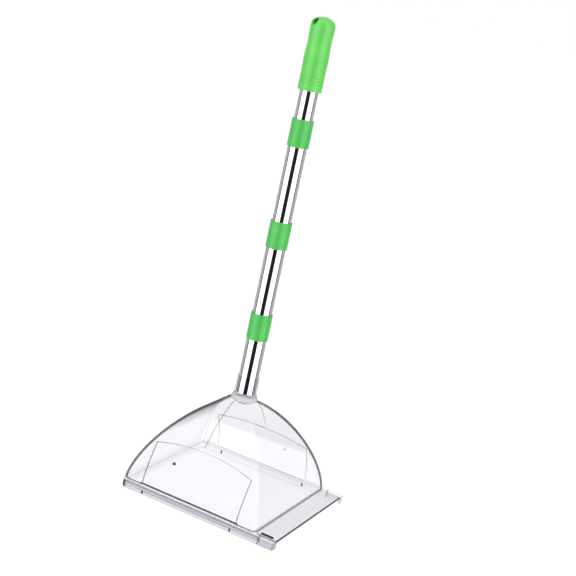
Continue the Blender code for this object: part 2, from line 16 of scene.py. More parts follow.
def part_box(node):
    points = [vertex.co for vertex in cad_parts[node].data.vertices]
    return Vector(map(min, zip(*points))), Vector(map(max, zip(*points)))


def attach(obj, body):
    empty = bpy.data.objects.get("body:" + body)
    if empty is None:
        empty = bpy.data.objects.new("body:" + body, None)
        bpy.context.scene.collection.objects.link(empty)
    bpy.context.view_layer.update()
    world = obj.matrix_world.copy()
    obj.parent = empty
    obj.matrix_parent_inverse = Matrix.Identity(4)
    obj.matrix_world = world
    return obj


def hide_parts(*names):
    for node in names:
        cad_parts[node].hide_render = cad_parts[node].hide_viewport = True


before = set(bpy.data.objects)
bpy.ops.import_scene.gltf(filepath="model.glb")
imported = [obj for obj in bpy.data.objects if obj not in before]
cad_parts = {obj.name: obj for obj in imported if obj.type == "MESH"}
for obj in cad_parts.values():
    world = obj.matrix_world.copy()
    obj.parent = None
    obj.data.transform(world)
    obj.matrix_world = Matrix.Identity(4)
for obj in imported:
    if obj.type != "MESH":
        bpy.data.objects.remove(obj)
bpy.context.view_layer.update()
print("CAD nodes:", len(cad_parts))

# %% [markdown]
# ## Tools for modelling by hand
# The pieces are made with the same operators as by hand in the window: add a
# primitive, go into edit mode, extrude, scale and move, then finish with
# modifiers.  An operator acts on whatever is selected, so each tool first
# deselects everything.  Faces and points are picked by their place, and two
# places that differ by less than a named length count as the same.

# %% Objects and edit mode
SAME = 1e-6
NEAR = 1e-5


def alone(piece):
    """Select one piece and make it the active one."""
    bpy.ops.object.select_all(action="DESELECT")
    piece.select_set(True)
    bpy.context.view_layer.objects.active = piece


def named(name):
    """Name what an operator just added, and put its place into its mesh."""
    piece = bpy.context.object
    piece.name = name
    piece.data.name = name
    bpy.ops.object.transform_apply(location=True, rotation=True, scale=True)
    return piece


def edit(piece):
    alone(piece)
    bpy.ops.object.mode_set(mode="EDIT")
    bpy.ops.mesh.select_all(action="SELECT")


def leave():
    bpy.ops.object.mode_set(mode="OBJECT")


def pick(test, kind="VERT"):
    """In edit mode, select the points, edges or faces whose middle passes."""
    bpy.ops.mesh.select_mode(type=kind)
    bpy.ops.mesh.select_all(action="DESELECT")
    mesh = bpy.context.object.data
    bm = bmesh.from_edit_mesh(mesh)
    for item in {"VERT": bm.verts, "EDGE": bm.edges, "FACE": bm.faces}[kind]:
        points = [item] if kind == "VERT" else item.verts
        middle = sum((v.co for v in points), Vector()) / len(points)
        if test(middle):
            item.select_set(True)
    bm.select_flush_mode()
    bmesh.update_edit_mesh(mesh)


# %% [markdown]
# A block is a cube primitive stretched between two corners.  Blocks are
# starting shapes and cutters.  A modifier is always applied at once, so that
# a finished piece is a plain mesh whose object sits at the origin.

# %% Blocks and modifiers
def block(name, low, high):
    bpy.ops.object.select_all(action="DESELECT")
    middle = [(low[k] + high[k]) / 2 for k in range(3)]
    bpy.ops.mesh.primitive_cube_add(size=1, location=middle)
    bpy.context.object.scale = [high[k] - low[k] for k in range(3)]
    return named(name)


def finish_with(piece, kind, **settings):
    """Add one modifier with its settings and apply it."""
    alone(piece)
    mod = piece.modifiers.new(kind.lower(), kind)
    for key, value in settings.items():
        setattr(mod, key, value)
    bpy.ops.object.modifier_apply(modifier=mod.name)
    return piece


def carve(piece, cutter, operation="DIFFERENCE"):
    """Cut with, join to or keep what is shared with another body."""
    finish_with(piece, "BOOLEAN", object=cutter, operation=operation, solver="EXACT")
    bpy.data.objects.remove(cutter, do_unlink=True)
    return piece


def soften(piece, width, segments=2, angle=math.radians(30)):
    """Round the sharp edges a little, as moulded and cut edges are."""
    alone(piece)
    bpy.ops.object.shade_smooth_by_angle(angle=angle)
    finish_with(piece, "BEVEL", width=width, segments=segments, limit_method="ANGLE",
                angle_limit=angle, harden_normals=True)
    return piece


def even_shading(piece, angle=math.radians(35)):
    """Smooth shading in which the large faces keep their own direction."""
    alone(piece)
    bpy.ops.object.shade_smooth_by_angle(angle=angle)
    finish_with(piece, "WEIGHTED_NORMAL", keep_sharp=True, weight=80)
    return piece


def stand_for(piece, node, body):
    """The piece shows in place of a CAD node and moves with its body."""
    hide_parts(node)
    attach(piece, body)
    print(piece.name, len(piece.data.polygons), "faces, stands for", node)


# %% [markdown]
# A round piece is made as on a lathe: a circle is extruded and scaled along
# a chain of radius and height.  The spin operator would do as well, but a
# scaled ring keeps its points in straight columns, so tubes inside tubes
# stay evenly spaced.

# %% Round pieces
ROUND_SIDES = 96


def run_rings(chain, x):
    """Extrude the selected ring through the rest of a chain."""
    r, z = chain[0]
    for next_r, next_z in chain[1:]:
        bpy.ops.mesh.extrude_region_move(TRANSFORM_OT_translate={"value": (0, 0, next_z - z)})
        k = next_r / r
        bpy.ops.transform.resize(value=(k, k, 1), center_override=(x, 0, next_z))
        r, z = next_r, next_z


def turned(name, chain, x, sides=ROUND_SIDES, pole_first=None):
    """Round piece; the chain closes on itself, or ends at radius 0."""
    bpy.ops.object.select_all(action="DESELECT")
    r, z = chain[0]
    bpy.ops.mesh.primitive_circle_add(vertices=sides, radius=r, location=(x, 0, z))
    piece = named(name)
    edit(piece)
    closes = chain[-1][0] > 0
    run_rings(chain + [chain[0]] if closes else chain, x)
    if pole_first is not None:
        pick(lambda p: abs(p.z - z) < SAME and abs(math.hypot(p.x - x, p.y) - r) < NEAR)
        run_rings([(r, z), (0, pole_first)], x)
    bpy.ops.mesh.select_all(action="SELECT")
    bpy.ops.mesh.remove_doubles(threshold=SAME)
    bpy.ops.mesh.normals_make_consistent(inside=False)
    leave()
    return piece


def arc(r, z, radius, start, end, steps=5):
    """Points of a fillet about a centre, between two angles in degrees."""
    points = []
    for k in range(steps + 1):
        a = math.radians(start + (end - start) * k / steps)
        points.append((r + radius * math.cos(a), z + radius * math.sin(a)))
    return points


# %% [markdown]
# ## Places taken from the CAD
# Every piece sits where its CAD node sits, so the boxes of the nodes give
# the places.  The pole stands a little left of the middle, because the door
# strip reaches out to the right.

# %% Places
GAP = 0.0003
MARGIN = 0.002

pole_x = sum(corner[0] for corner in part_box("tube_a")) / 2
dome_low, dome_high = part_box("dome_shell")
frame_low, frame_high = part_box("base_frame")
door_low, door_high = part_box("door_plate")
strip_low, strip_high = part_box("door_pull_strip")
foot_z = dome_low[2]
dome_half = (dome_high[0] - dome_low[0]) / 2
rail_y = frame_high[1]
print("pole at x", round(pole_x, 5), "dome half", round(dome_half, 4))


def at_pole(low, high):
    """Two corners counted from the pole, as corners in the frame."""
    return (pole_x + low[0], low[1], low[2]), (pole_x + high[0], high[1], high[2])


def radius_of(node):
    """Radius of a round CAD node, from its box."""
    low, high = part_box(node)
    return (high[0] - low[0]) / 2


# %% [markdown]
# ## The dome
# The real dome is one injection-moulded shell of clear polystyrene.  Its
# four faces lean inward along a curve and meet in rounded hips that keep
# their radius all the way up.  A circle as wide as a hip is drawn first, its
# four quarters are slid apart to make a square with round corners, and the
# ring is extruded level by level while the quarters slide together again.
# Scaling the ring would be quicker, but then the hips would taper.

# %% The curve of a face
HIP_R = 0.0070
HIP_STEPS = 10
WALL = 0.0022
DOME_RISE = 0.1063
CROWN_HALF = 0.0084
FACE_FULL_SHARE = 1.004
FACE_FULL = DOME_RISE * FACE_FULL_SHARE
FACE_RISE = 1.50
FACE_ROUND = 1.49
DOME_LEVELS = 56
LEVEL_POWER = 1.15
CROWN_HOLE_R = 0.0095


def face_half(z):
    """Half the dome's width at a height above its foot."""
    rest = max(0, 1 - (z / FACE_FULL) ** FACE_RISE)
    return CROWN_HALF + (dome_half - CROWN_HALF) * rest ** (1 / FACE_ROUND)


def face_normal(z):
    """How far outward and upward the face's normal points."""
    h = DOME_RISE / 1000
    low, high = max(z - h, 0), min(z + h, DOME_RISE)
    lean = (face_half(low) - face_half(high)) / (high - low)
    return 1 / math.hypot(1, lean), lean / math.hypot(1, lean)


def dome_heights():
    """Levels that lie much closer together under the crown."""
    return [DOME_RISE * math.sin(math.pi / 2 * k / DOME_LEVELS) ** LEVEL_POWER
            for k in range(DOME_LEVELS + 1)]


print("half width at mid height", round(face_half(DOME_RISE / 2), 4))

# %% [markdown]
# The ring of quarters is drawn and raised here.  The wall of the real dome
# shows its outer skin, its inner skin and its cut edges in different ways,
# so each body gets three material slots and has all its faces in one of
# them.  A Boolean hands the slot of the cutter to the faces that it leaves.

# %% Draw the ring and raise a solid vault
OUTER, INNER, CUT = 0, 1, 2


def move_quarters(z, middle, next_middle, k):
    """Slide the quarters of the ring at one height and scale each in its place."""
    for sx in (-1, 1):
        for sy in (-1, 1):
            pick(lambda p: abs(p.z - z) < SAME and (p.x - pole_x) * sx > 0 and p.y * sy > 0)
            by = next_middle - middle
            bpy.ops.transform.translate(value=(sx * by, sy * by, 0))
            spot = (pole_x + sx * next_middle, sy * next_middle, z)
            bpy.ops.transform.resize(value=(k, k, 1), center_override=spot)
    pick(lambda p: abs(p.z - z) < SAME)


def vault_rings(offset):
    """Height, middle of a quarter and its radius, level by level."""
    rings = []
    for z in dome_heights():
        out, up = face_normal(z)
        height = foot_z + z + (offset * up if z > 0 else 0)
        if not rings or height > rings[-1][0] + MARGIN / 100:
            rings.append((height, face_half(z) - HIP_R, HIP_R + offset * out))
    return rings


def in_slot(piece, slot):
    """Give a body three material slots and put all its faces into one."""
    edit(piece)
    for _ in (OUTER, INNER, CUT):
        bpy.ops.object.material_slot_add()
    piece.active_material_index = slot
    bpy.ops.object.material_slot_assign()
    leave()
    return piece


def vault(name, offset=0, below=0):
    """Solid vault, this far outside the dome's outer face."""
    rings = vault_rings(offset)
    z, middle, radius = rings[0]
    count = 4 * HIP_STEPS
    bpy.ops.object.select_all(action="DESELECT")
    bpy.ops.mesh.primitive_circle_add(vertices=count, radius=radius, location=(pole_x, 0, z))
    piece = named(name)
    edit(piece)
    bpy.ops.transform.rotate(value=math.pi / count, orient_axis="Z", center_override=(pole_x, 0, z))
    move_quarters(z, 0, middle, 1)
    for next_z, next_middle, next_radius in rings[1:]:
        bpy.ops.mesh.extrude_region_move(TRANSFORM_OT_translate={"value": (0, 0, next_z - z)})
        move_quarters(next_z, middle, next_middle, next_radius / radius)
        z, middle, radius = next_z, next_middle, next_radius
    bpy.ops.mesh.edge_face_add()
    pick(lambda p: abs(p.z - foot_z) < SAME)
    if below:
        bpy.ops.mesh.extrude_region_move(TRANSFORM_OT_translate={"value": (0, 0, -below)})
    bpy.ops.mesh.edge_face_add()
    bpy.ops.mesh.select_all(action="SELECT")
    bpy.ops.mesh.normals_make_consistent(inside=False)
    leave()
    return piece


# %% [markdown]
# The mould of the dome closes a little beside the middle of the front and
# the back, and leaves a fine raised seam there.  Each seam is a thin slice of
# a slightly larger vault, joined to the first one.  Then a smaller vault is
# cut out of it all, which leaves the wall.  A Solidify modifier would be
# shorter, but its inner side crosses itself under the flat crown.

# %% The shell with its seams
SEAM_W = 0.0010
SEAM_X = -0.0050
SEAM_H = 0.0005
SEAM_LOW = 0.0603


def turn_about_pole(piece):
    """Half a turn about the pole, from the front face to the back face."""
    edit(piece)
    bpy.ops.transform.rotate(value=math.pi, orient_axis="Z", center_override=(pole_x, 0, 0))
    leave()
    return piece


def shell(name):
    piece = in_slot(vault(name), OUTER)
    low, high = at_pole((SEAM_X - SEAM_W / 2, -dome_half - MARGIN, foot_z + SEAM_LOW),
                        (SEAM_X + SEAM_W / 2, 0, foot_z + DOME_RISE - WALL / 4))
    slabs = block("slab", low, high)
    carve(slabs, turn_about_pole(block("back_slab", low, high)), "UNION")
    carve(piece, carve(slabs, vault("larger", SEAM_H), "INTERSECT"), "UNION")
    return carve(piece, in_slot(vault("inside", -WALL, MARGIN), INNER))


def copy_of(piece, name):
    alone(piece)
    bpy.ops.object.duplicate()
    return named(name)


dome = shell("dome")
halves = [copy_of(dome, "front_panel"), copy_of(dome, "back_panel")]
print("shell", len(dome.data.polygons), "faces")

# %% [markdown]
# The openings for the hinged panels have upright sides and an arched top.
# A cutter in that outline is pushed through the face.  Its top slopes along
# the way the panel swings out, so the panel clears the edge of its opening.
# The same cutter, a little smaller, later cuts the panel out of a copy of
# the shell, and so the panel follows the curve of the face exactly.

# %% Cutter for the arched openings
FLAP_HALF = 0.0625
FLAP_SIDE_H = 0.0485
FLAP_ARCH = 0.0096
FLAP_SLACK = 0.00035
FLAP_TILT = 0.455
ARCH_CUTS = 31
BARREL_R = 0.0013


def flap_cutter(name, half, side_h, low):
    y_out = -(dome_half + MARGIN)
    y_in = -dome_half / 2
    y_face = -face_half(FLAP_SIDE_H)
    bpy.ops.object.select_all(action="DESELECT")
    bpy.ops.mesh.primitive_plane_add(size=1, location=(pole_x, y_out, foot_z + (side_h + low) / 2))
    bpy.context.object.rotation_euler = (math.pi / 2, 0, 0)
    bpy.context.object.scale = (2 * half, side_h - low, 1)
    piece = named(name)
    edit(piece)
    pick(lambda p: p.z > foot_z + side_h - NEAR, "EDGE")
    bpy.ops.mesh.subdivide(number_cuts=ARCH_CUTS)
    bm = bmesh.from_edit_mesh(piece.data)
    for v in bm.verts:
        if v.co.z > foot_z + side_h - NEAR:
            s = (v.co.x - pole_x) / half
            v.co.z += FLAP_ARCH * (1 - s * s) + (y_face - y_out) * FLAP_TILT
    bmesh.update_edit_mesh(piece.data)
    bpy.ops.mesh.select_all(action="SELECT")
    bpy.ops.mesh.extrude_region_move(TRANSFORM_OT_translate={"value": (0, y_in - y_out, 0)})
    pick(lambda p: p.y > y_in - NEAR and p.z > foot_z + side_h / 2)
    bpy.ops.transform.translate(value=(0, 0, (y_out - y_in) * FLAP_TILT))
    bpy.ops.mesh.select_all(action="SELECT")
    bpy.ops.mesh.normals_make_consistent(inside=False)
    leave()
    return in_slot(piece, CUT)


def rod_along_x(name, r, reach, sides):
    """Cylinder along the hinge axis of the front panel."""
    bpy.ops.object.select_all(action="DESELECT")
    hinge_y = -(dome_half - WALL / 2)
    bpy.ops.mesh.primitive_cylinder_add(vertices=sides, radius=r, depth=2 * reach,
                                        location=(pole_x, hinge_y, foot_z + BARREL_R),
                                        rotation=(0, math.pi / 2, 0))
    return in_slot(named(name), CUT)


# %% [markdown]
# The crown is opened for the neck, and each face for its panel and the ends
# of the wire on which the panel turns.

# %% Open the dome
PIN_R = 0.0004
PIN_REACH = 0.0018

crown_z = dome_high[2] - 2 * WALL
hole = turned("crown_hole", [(CROWN_HOLE_R, crown_z), (CROWN_HOLE_R, dome_high[2] + MARGIN),
                             (0, dome_high[2] + MARGIN)], pole_x, 48, crown_z)
carve(dome, in_slot(hole, CUT))
for back in (False, True):
    for cutter in (flap_cutter("opening", FLAP_HALF, FLAP_SIDE_H, -MARGIN),
                   rod_along_x("pin_hole", PIN_R + GAP, FLAP_HALF + PIN_REACH + GAP, 16)):
        carve(dome, turn_about_pole(cutter) if back else cutter)
even_shading(dome)
stand_for(dome, "dome_shell", "catcher")

# %% [markdown]
# ## The hinged panels
# Each panel is cut from a copy of the shell with the smaller cutter.  A
# barrel along its foot takes the hinge wire, and a round hole takes the stem
# of the knob.

# %% Make the two panels
KNOB_X = 0.0314
KNOB_Z = 0.0344
KNOB_STEM_R = 0.0009


def lay_on_face(piece):
    """Lean a round piece outward and set it at the knob's place."""
    n_out, n_up = face_normal(KNOB_Z)
    lean = Matrix.Rotation(math.atan2(n_out, n_up), 4, "X")
    spot = Vector((pole_x - KNOB_X, -face_half(KNOB_Z), foot_z + KNOB_Z))
    piece.data.transform(Matrix.Translation(spot) @ lean)
    return piece


def flap(piece):
    """Cut the front panel out of a copy of the shell."""
    half = FLAP_HALF - FLAP_SLACK
    carve(piece, flap_cutter("panel", half, FLAP_SIDE_H - FLAP_SLACK, BARREL_R), "INTERSECT")
    carve(piece, rod_along_x("barrel", BARREL_R, half, 24), "UNION")
    carve(piece, rod_along_x("bore", PIN_R + GAP, half + MARGIN, 16))
    stem = turned("stem_hole", [(KNOB_STEM_R + GAP, -WALL - MARGIN), (KNOB_STEM_R + GAP, MARGIN),
                                (0, MARGIN)], 0, 24, -WALL - MARGIN)
    carve(piece, lay_on_face(in_slot(stem, CUT)))
    return piece


for side, panel in zip(("front", "back"), halves):
    flap(panel)
    if side == "back":
        turn_about_pole(panel)
    even_shading(panel)
    stand_for(panel, side + "_flap", side + "_flap_leaf")

# %% [markdown]
# ## The knobs
# Each panel is opened by a small knob: a low round head on a thin stem,
# turned like a lathe piece with a domed top, then leaned to stand square on
# the curved panel.

# %% Make the two knobs
KNOB_R = 0.0018
KNOB_H = 0.0016
KNOB_ROUND = 0.0003
KNOB_TOP_SHARES = ((0.98, 0.5), (0.88, 0.72), (0.66, 0.88), (0.34, 0.97), (0, 1))


def knob(name):
    chain = [(KNOB_STEM_R, -WALL), (KNOB_STEM_R, GAP)]
    chain += arc(KNOB_R - KNOB_ROUND, GAP + KNOB_ROUND, KNOB_ROUND, -90, 0, 3)
    chain += [(KNOB_R * out, GAP + KNOB_H * up) for out, up in KNOB_TOP_SHARES]
    return lay_on_face(turned(name, chain, 0, 32, -WALL))


for side in ("front", "back"):
    button = knob(side + "_knob")
    if side == "back":
        turn_about_pole(button)
    alone(button)
    bpy.ops.object.shade_smooth_by_angle(angle=math.radians(40))
    stand_for(button, side + "_flap_knob", side + "_flap_leaf")

# %% [markdown]
# ## The base frame
# The dome stands on a clear moulded frame.  Two rails run along the front
# and the back, a rounded bar closes the left end, and the right end is open
# for the door.  The outline is a plane with its left corners bevelled, then
# extruded up twice, the second time with a slope that sheds the outer edge.
# The opening, the door's groove and the recesses are cut with blocks.

# %% Make the base frame
LEDGE_DROP = 0.0008
CORNER_R = 0.0095
INNER_W = 0.0042
LIP_T = 0.0010
RECESS = 0.0007
RECESS_H = 0.0044
RECESS_HALF = 0.0580
TICK_W = 0.0013
TICK_H = 0.0040
TICK_DEPTH = 0.0018
EDGE_ROUND = 0.00018

frame_h = frame_high[2]
inner_y = dome_half - INNER_W
left = frame_low[0] - pole_x
right = frame_high[0] - pole_x
groove_top = frame_h - LIP_T
bar_end = strip_low[0] - GAP - pole_x


def frame_blank():
    bpy.ops.object.select_all(action="DESELECT")
    bpy.ops.mesh.primitive_plane_add(size=1, location=(pole_x + (left + right) / 2, 0, 0))
    bpy.context.object.scale = (right - left, 2 * rail_y, 1)
    piece = named("frame")
    edit(piece)
    pick(lambda p: p.x < pole_x)
    bpy.ops.mesh.bevel(offset=CORNER_R, offset_type="OFFSET", segments=12, affect="VERTICES")
    bpy.ops.mesh.select_all(action="SELECT")
    bpy.ops.mesh.extrude_region_move(TRANSFORM_OT_translate={"value": (0, 0, frame_h - LEDGE_DROP)})
    bpy.ops.mesh.extrude_region_move(TRANSFORM_OT_translate={"value": (0, 0, LEDGE_DROP)})
    bpy.ops.transform.resize(value=((right + dome_half) / (right - left), dome_half / rail_y, 1),
                             center_override=(pole_x + right, 0, frame_h))
    bpy.ops.mesh.select_all(action="SELECT")
    bpy.ops.mesh.normals_make_consistent(inside=False)
    leave()
    return piece


base = frame_blank()
past = right + MARGIN
low_past = -MARGIN
cuts = [((-inner_y, -inner_y, low_past), (inner_y, inner_y, frame_h + MARGIN)),
        ((door_low[0] - pole_x - GAP, door_low[1] - GAP, door_low[2] - GAP),
         (past, door_high[1] + GAP, groove_top)),
        ((0, -inner_y, low_past), (past, inner_y, groove_top)),
        ((bar_end, -inner_y, low_past), (past, inner_y, frame_h + MARGIN))]
for side in (-1, 1):
    faces = [side * (rail_y - RECESS), side * (rail_y + MARGIN)]
    cuts.append(((-RECESS_HALF, min(faces), low_past), (RECESS_HALF, max(faces), RECESS_H)))
    faces[0] = side * (rail_y - TICK_DEPTH)
    for end in (-RECESS_HALF, RECESS_HALF):
        cuts.append(((end - TICK_W / 2, min(faces), low_past), (end + TICK_W / 2, max(faces), TICK_H)))
for low, high in cuts:
    carve(base, block("cutter", *at_pole(low, high)))
soften(base, EDGE_ROUND)
stand_for(base, "base_frame", "catcher")

# %% [markdown]
# ## The door
# The door is a flat clear plate that runs in the groove of the frame.  Its
# outer end carries a finger strip with a rounded edge and two end clips that
# meet the rails.  A small matt black bar lies on the strip beside the near
# clip: painted shade, a dark piece put where the near clip shows a dark
# reflection.

# %% Make the door
CLIP_WALL = 0.0018
STRIP_EDGE = 0.0011
BAR_ROUND = 0.0004

plate = block("door", door_low, door_high)
soften(plate, EDGE_ROUND)
stand_for(plate, "door_plate", "door")

strip = block("pull_strip", strip_low, strip_high)
edit(strip)
pick(lambda p: p.x > strip_high[0] - NEAR and abs(p.y) < NEAR, "EDGE")
bpy.ops.mesh.bevel(offset=STRIP_EDGE, offset_type="OFFSET", segments=5, affect="EDGES")
leave()
soften(strip, EDGE_ROUND / 2)
stand_for(strip, "door_pull_strip", "door")

for name, side in (("door_clip_near", -1), ("door_clip_far", 1)):
    low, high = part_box(name)
    clip = block(name.replace("door_", ""), low, high)
    wall_y = side * (rail_y - CLIP_WALL)
    open_y = side * (abs(low[1] if side > 0 else high[1]) - MARGIN)
    carve(clip, block("cutter", (low[0] - MARGIN, min(wall_y, open_y), -MARGIN),
                      (high[0] - CLIP_WALL, max(wall_y, open_y), strip_low[2])))
    soften(clip, EDGE_ROUND)
    stand_for(clip, name, "door")

# painted shade: a black bar where the near clip shows a dark reflection
low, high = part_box("door_catch_bar")
bar = block("catch_bar", low, high)
soften(bar, BAR_ROUND, 3)
stand_for(bar, "door_catch_bar", "door")

# %% [markdown]
# ## The neck
# A clear socket holds the pole: a foot ring on the crown and a tapered
# sleeve round the lowest tube.  Both are turned from one chain with small
# fillets, and the sleeve ends in a thin rounded bead.

# %% Make the neck
SPIGOT_H = 0.0030
NECK_R = 0.0154
RING_ROUND = 0.0006
RING_SIDE_H = 0.0022
SHOULDER_R = 0.0008
RING_H = 0.0060
FLARE = 0.0003
FLARE_H = 0.0012
WAIST_R = 0.0139
TOP_R = 0.0130
SEAT_H = 0.0090
BEAD = 0.0006
BEAD_OUT = 0.0001
BEAD_DROP = 0.0016
LEAD_IN = 0.0002

neck_low, neck_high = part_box("neck_socket")
neck_z = neck_low[2] + SPIGOT_H
bore = radius_of("tube_a") + GAP
top = neck_high[2]
chain = [(CROWN_HOLE_R - GAP, neck_low[2]), (CROWN_HOLE_R - GAP, neck_z)]
chain += arc(NECK_R - RING_ROUND, neck_z + RING_ROUND, RING_ROUND, -90, 0, 4)
chain += arc(NECK_R - SHOULDER_R, neck_z + RING_SIDE_H, SHOULDER_R, 0, 60, 4)
chain += [(WAIST_R + FLARE, neck_z + RING_H - FLARE_H), (WAIST_R, neck_z + RING_H)]
chain += [(TOP_R, top - BEAD_DROP)]
chain += arc(TOP_R - BEAD / 2 + BEAD_OUT, top - BEAD, BEAD, -20, 90, 6)
chain += [(bore + LEAD_IN, top), (bore, top - LEAD_IN)]
chain += [(bore, neck_z + SEAT_H), (0, neck_z + SEAT_H)]
neck = turned("neck", chain, pole_x, ROUND_SIDES, neck_low[2])
even_shading(neck, math.radians(40))
stand_for(neck, "neck_socket", "catcher")

# %% [markdown]
# ## The tubes
# Four thin steel tubes slide into each other.  Each is a ring section
# extruded up and turned back inside, with its mouth rolled a little.

# %% Make the tubes
TUBE_WALL = 0.0003
roll = TUBE_WALL / 2
for letter, body in (("a", "catcher"), ("b", "section_b"), ("c", "section_c"), ("d", "section_d")):
    low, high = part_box("tube_" + letter)
    r = radius_of("tube_" + letter)
    chain = [(r, low[2]), (r, high[2] - roll)]
    chain += arc(r - roll, high[2] - roll, roll, 30, 150, 4)
    chain += [(r - TUBE_WALL, high[2] - roll), (r - TUBE_WALL, low[2])]
    tube = turned("steel_tube_" + letter, chain, pole_x)
    even_shading(tube, math.radians(50))
    stand_for(tube, "tube_" + letter, body)

# %% [markdown]
# ## The collars
# A green collar covers the mouth of each outer tube and closes in to the
# next tube with a short lip.  Its ends are rounded, and a fine line near the
# top shows where the mould's insert met it.

# %% Make the collars
LIP_H = 0.0060
ROUND_END = 0.0009
LINE_Z = 0.0024
LINE_HALF = 0.0003
LINE_DEPTH = 0.00015
for place, body, inner, outer in (("lower", "catcher", "tube_a", "tube_b"),
                                  ("middle", "section_b", "tube_b", "tube_c"),
                                  ("upper", "section_c", "tube_c", "tube_d")):
    low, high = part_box("collar_" + place)
    r = radius_of("collar_" + place)
    hole = radius_of(inner) + GAP
    lip = radius_of(outer) + GAP
    z0, z1 = low[2], high[2]
    chain = [(hole, z0)] + arc(r - ROUND_END / 2, z0 + ROUND_END / 2, ROUND_END / 2, -90, 0, 4)
    chain += [(r, z1 - LINE_Z - LINE_HALF), (r - LINE_DEPTH, z1 - LINE_Z), (r, z1 - LINE_Z + LINE_HALF)]
    chain += arc(r - ROUND_END, z1 - ROUND_END, ROUND_END, 0, 80, 5)
    chain += [(lip + LEAD_IN, z1), (lip, z1 - LEAD_IN), (lip, z1 - LIP_H), (hole, z1 - LIP_H)]
    collar = turned("collar_on_" + inner, chain, pole_x)
    even_shading(collar, math.radians(40))
    stand_for(collar, "collar_" + place, body)

# %% [markdown]
# ## The grip
# The hand grip is moulded over the top tube.  It narrows to a waist, swells
# to a shoulder under a rounded top, and three fine grooves run round its
# foot.  The side is a smooth curve through a few radii, and the hanging hole
# is cut through the top and its rim rounded.

# %% Make the grip
grip_low, grip_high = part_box("grip")
grip_r = radius_of("grip")
grip_h = grip_high[2] - grip_low[2]
TOP_H = 0.0090
TOP_STEPS = 24
TUCK_R, BELLY_R, WAIST_AT_R, FOOT_R = 0.0133, 0.0137, 0.0130, 0.0135
FOOT_ROUND = 0.0007
MOUTH_CUT = 0.0003
GRIP_CURVE = ((0, FOOT_R), (0.19, FOOT_R), (0.24, TUCK_R), (0.44, BELLY_R), (0.65, WAIST_AT_R),
              (0.84, FOOT_R), (1, FOOT_R))
GROOVE_FIRST = 0.0080
GROOVE_STEP = 0.0034
GROOVE_W = 0.0012
GROOVE_DEPTH = 0.0004
SIDE_START = 0.0016
SIDE_REST = 0.0005
GROOVED_END = 0.0166
GROOVED_STEP, PLAIN_STEP = 0.0002, 0.0012
GRIP_BORE_H = 0.0603
HOLE_R = 0.0040
HOLE_DROP = 0.0062
HOLE_TURN = math.radians(26)
HOLE_ROUND = 0.0007


def side_radius(share):
    """Radius of the grip's side at a share of its height."""
    for (low, r_low), (high, r_high) in zip(GRIP_CURVE, GRIP_CURVE[1:]):
        if share <= high:
            s = (share - low) / (high - low)
            return r_low + (r_high - r_low) * s * s * (3 - 2 * s)


def groove(z):
    """How deep the three grooves are at a height above the foot."""
    depth = 0
    for k in range(3):
        s = abs(z - GROOVE_FIRST - k * GROOVE_STEP) / (GROOVE_W / 2)
        if s < 1:
            depth = GROOVE_DEPTH * (0.5 + 0.5 * math.cos(math.pi * s))
    return depth


def grip_chain():
    """Bore, foot, side and rounded top; the side is close-meshed at the grooves."""
    bore_r = radius_of("tube_d") + GAP
    chain = [(bore_r, GRIP_BORE_H), (bore_r, MOUTH_CUT), (bore_r + MOUTH_CUT, 0)]
    chain += arc(FOOT_R - FOOT_ROUND, FOOT_ROUND, FOOT_ROUND, -90, 0, 5)
    z = SIDE_START
    shoulder = grip_h - TOP_H
    while z < shoulder - SIDE_REST:
        chain.append((side_radius(z / grip_h) - groove(z), z))
        z += GROOVED_STEP if z < GROOVED_END else PLAIN_STEP
    for k in range(TOP_STEPS):
        a = math.pi / 2 * k / TOP_STEPS
        chain.append((FOOT_R * math.cos(a), shoulder + TOP_H * math.sin(a)))
    chain.append((0, grip_h))
    return [(r, z + grip_low[2]) for r, z in chain]


grip = turned("hand_grip", grip_chain(), pole_x, ROUND_SIDES, grip_low[2] + GRIP_BORE_H)
bpy.ops.object.select_all(action="DESELECT")
bpy.ops.mesh.primitive_cylinder_add(vertices=48, radius=HOLE_R, depth=4 * grip_r,
                                    location=(pole_x, 0, grip_high[2] - HOLE_DROP),
                                    rotation=(math.pi / 2, 0, -HOLE_TURN))
carve(grip, named("hole"))
alone(grip)
bpy.ops.object.shade_smooth_by_angle(angle=math.radians(40))
finish_with(grip, "BEVEL", width=HOLE_ROUND, segments=4, limit_method="ANGLE",
            angle_limit=math.radians(40), harden_normals=False)
even_shading(grip, math.radians(40))
stand_for(grip, "grip", "section_d")

# %% [markdown]
# ## Materials
# Colours are written as sRGB codes, as a colour picker shows them, and one
# function turns them into the linear values that Blender's sockets expect.
# Another small function adds a node with its settings and links.

# %% Colour and node helpers
def srgb(code, alpha=1.0):
    """Linear colour from a six-digit sRGB code."""
    out = []
    for k in (0, 2, 4):
        c = int(code[k:k + 2], 16) / 255
        out.append(c / 12.92 if c <= 0.04045 else ((c + 0.055) / 1.055) ** 2.4)
    return (out[0], out[1], out[2], alpha)


def add(tree, kind, links=None, values=None, **settings):
    """Add a node, set its fields and sockets, and link sockets into it."""
    n = tree.nodes.new(kind)
    for key, value in settings.items():
        setattr(n, key, value)
    for key, value in (values or {}).items():
        n.inputs[key].default_value = value
    for key, source in (links or {}).items():
        tree.links.new(source, n.inputs[key])
    return n


def new_finish(name):
    """A material with a fresh node tree, its shader and its coordinates."""
    mat = bpy.data.materials.new(name)
    mat.use_nodes = True
    tree = mat.node_tree
    tree.nodes.clear()
    shader = add(tree, "ShaderNodeBsdfPrincipled")
    add(tree, "ShaderNodeOutputMaterial", {"Surface": shader.outputs["BSDF"]})
    where = add(tree, "ShaderNodeTexCoord").outputs["Object"]
    return mat, tree, shader, where


